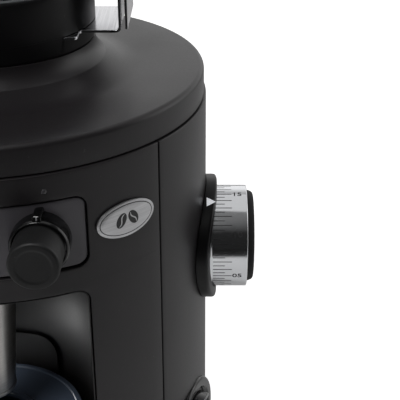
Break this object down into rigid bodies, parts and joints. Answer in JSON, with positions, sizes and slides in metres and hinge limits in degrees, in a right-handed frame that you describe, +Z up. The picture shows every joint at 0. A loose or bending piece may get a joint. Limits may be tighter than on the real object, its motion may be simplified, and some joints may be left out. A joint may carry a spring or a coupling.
{
  "type": "burr coffee grinder",
  "caption": "Round upright burr coffee grinder with bean hopper and slide gate, side grind dial, push knob, spout recess and lidded grounds container.",
  "frame": {"origin": "on the table, below the middle of the whole grinder with its dial, tray and cable gland", "axes": "+Z up; the front with knob and spout faces -Y; the grind dial is on the +X side"},
  "size_m": [0.1866, 0.206, 0.429],
  "materials": {
    "satin_black_paint": "satin charcoal-black paint with a fine grain",
    "matte_black_plastic": "matte black moulding",
    "gloss_black_plastic": "gloss black moulding",
    "panel_grey": "satin dark grey panel",
    "chrome": "mirror chrome and polished stainless sheet",
    "brushed_steel": "brushed stainless steel",
    "machined_steel": "machined steel",
    "cast_alloy": "bead-blasted casting",
    "brass": "turned brass",
    "black_rubber": "soft black rubber",
    "white_ink": "white",
    "circuit_board": "green laminate",
    "clear_plastic": "clear polished copolyester",
    "smoke_plastic": "dark smoke-blue transparent plastic"
  },
  "bodies": {
    "housing": {"base_casting": "satin_black_paint", "bottom_plate": "matte_black_plastic", "foot_front_left": "black_rubber", "foot_front_right": "black_rubber", "foot_rear_left": "black_rubber", "foot_rear_right": "black_rubber", "front_cover": "satin_black_paint", "rear_housing": "satin_black_paint", "top_cover": "satin_black_paint", "holder_mount_panel": "satin_black_paint", "cable_gland": "matte_black_plastic", "control_panel": "panel_grey", "knob_ring": "gloss_black_plastic", "knob_encoder": "machined_steel", "indicator_light": "white_ink", "badge_plate": "brushed_steel", "control_board": "circuit_board", "drive_plate": "cast_alloy", "post_front_left": "machined_steel", "post_front_right": "machined_steel", "post_rear_left": "machined_steel", "post_rear_right": "machined_steel", "power_board": "circuit_board", "motor_can": "machined_steel", "grinding_chamber": "cast_alloy", "shaft_bearing": "machined_steel", "upper_burr": "machined_steel", "upper_burr_carrier": "cast_alloy", "outlet_chute": "matte_black_plastic", "spout_tube": "brushed_steel", "lift_guide": "brass", "adjuster_frame": "cast_alloy", "dial_bezel": "satin_black_paint", "dial_pointer": "white_ink", "switch_bezel": "gloss_black_plastic", "switch_body": "matte_black_plastic"},
    "tray": {"drip_tray": "satin_black_paint"},
    "container": {"grounds_container": "smoke_plastic"},
    "container_lid": {"container_lid": "smoke_plastic"},
    "knob_switch": {"knob_plunger": "brass"},
    "selector": {"selector_knob": "matte_black_plastic"},
    "rotor": {"motor_shaft": "machined_steel", "motor_pinion": "brass"},
    "burr_lift": {"thrust_cup": "machined_steel"},
    "burr_spindle": {"burr_shaft": "machined_steel", "drive_gear": "cast_alloy", "lower_burr_carrier": "cast_alloy", "lower_burr": "machined_steel"},
    "wedge": {"adjuster_wedge": "machined_steel"},
    "dial": {"dial_drum": "chrome", "dial_cap": "black_rubber", "dial_shaft": "machined_steel"},
    "switch": {"switch_rocker": "gloss_black_plastic"},
    "hopper": {"hopper_ring": "matte_black_plastic", "hopper_collar": "matte_black_plastic", "hopper_bowl": "clear_plastic"},
    "gate": {"slide_gate": "chrome"},
    "hopper_lid": {"hopper_lid": "matte_black_plastic", "hopper_lid_seal": "black_rubber"}
  },
  "joints": [
    {"name": "tray_slide", "type": "slide", "parent": "housing", "child": "tray", "axis": [0, -1, 0], "range_m": [0, 0.09]},
    {"name": "container_pull", "type": "slide", "parent": "tray", "child": "container", "axis": [0, -1, 0], "range_m": [0, 0.13]},
    {"name": "container_lid_lift", "type": "slide", "parent": "container", "child": "container_lid", "axis": [0, 0, 1], "range_m": [0, 0.012]},
    {"name": "knob_press", "type": "slide", "parent": "housing", "child": "knob_switch", "axis": [0, 1, 0], "range_m": [0, 0.0015], "stiffness_N_per_m": 600, "springref_m": -0.001},
    {"name": "knob_turn", "type": "hinge", "parent": "knob_switch", "child": "selector", "pos_m": [0.0178, -0.077, 0.2246], "axis": [0, -1, 0], "continuous": true},
    {"name": "burr_lift", "type": "slide", "parent": "housing", "child": "burr_lift", "axis": [0, 0, 1], "range_m": [-0.00067, 0.00039]},
    {"name": "burr_spin", "type": "hinge", "parent": "burr_lift", "child": "burr_spindle", "pos_m": [-0.0093, 0.011, 0.21], "axis": [0, 0, 1], "continuous": true},
    {"name": "motor_spin", "type": "hinge", "parent": "housing", "child": "rotor", "pos_m": [-0.0093, 0.056, 0.15], "axis": [0, 0, 1], "continuous": true},
    {"name": "dial_turn", "type": "hinge", "parent": "housing", "child": "dial", "pos_m": [0.0807, 0.011, 0.1835], "axis": [1, 0, 0], "range_deg": [-133.7, 226.3]},
    {"name": "wedge_slide", "type": "slide", "parent": "housing", "child": "wedge", "axis": [1, 0, 0], "range_m": [-0.00223, 0.00377]},
    {"name": "switch_rock", "type": "hinge", "parent": "housing", "child": "switch", "pos_m": [0.06381, -0.01561, 0.1068], "axis": [0.342, 0.9397, 0], "range_deg": [-16, 0]},
    {"name": "hopper_lift", "type": "slide", "parent": "housing", "child": "hopper", "axis": [0, 0, 1], "range_m": [0, 0.04]},
    {"name": "gate_slide", "type": "slide", "parent": "hopper", "child": "gate", "axis": [1, 0, 0], "range_m": [0, 0.05]},
    {"name": "hopper_lid_lift", "type": "slide", "parent": "hopper", "child": "hopper_lid", "axis": [0, 0, 1], "range_m": [0, 0.03]}
  ],
  "couplings": [
    {"joint": "motor_spin", "follows": "burr_spin", "ratio": -2.3333},
    {"joint": "wedge_slide", "follows": "dial_turn", "m_per_rad": 0.00095493},
    {"joint": "burr_lift", "follows": "dial_turn", "m_per_rad": -0.00016838}
  ]
}
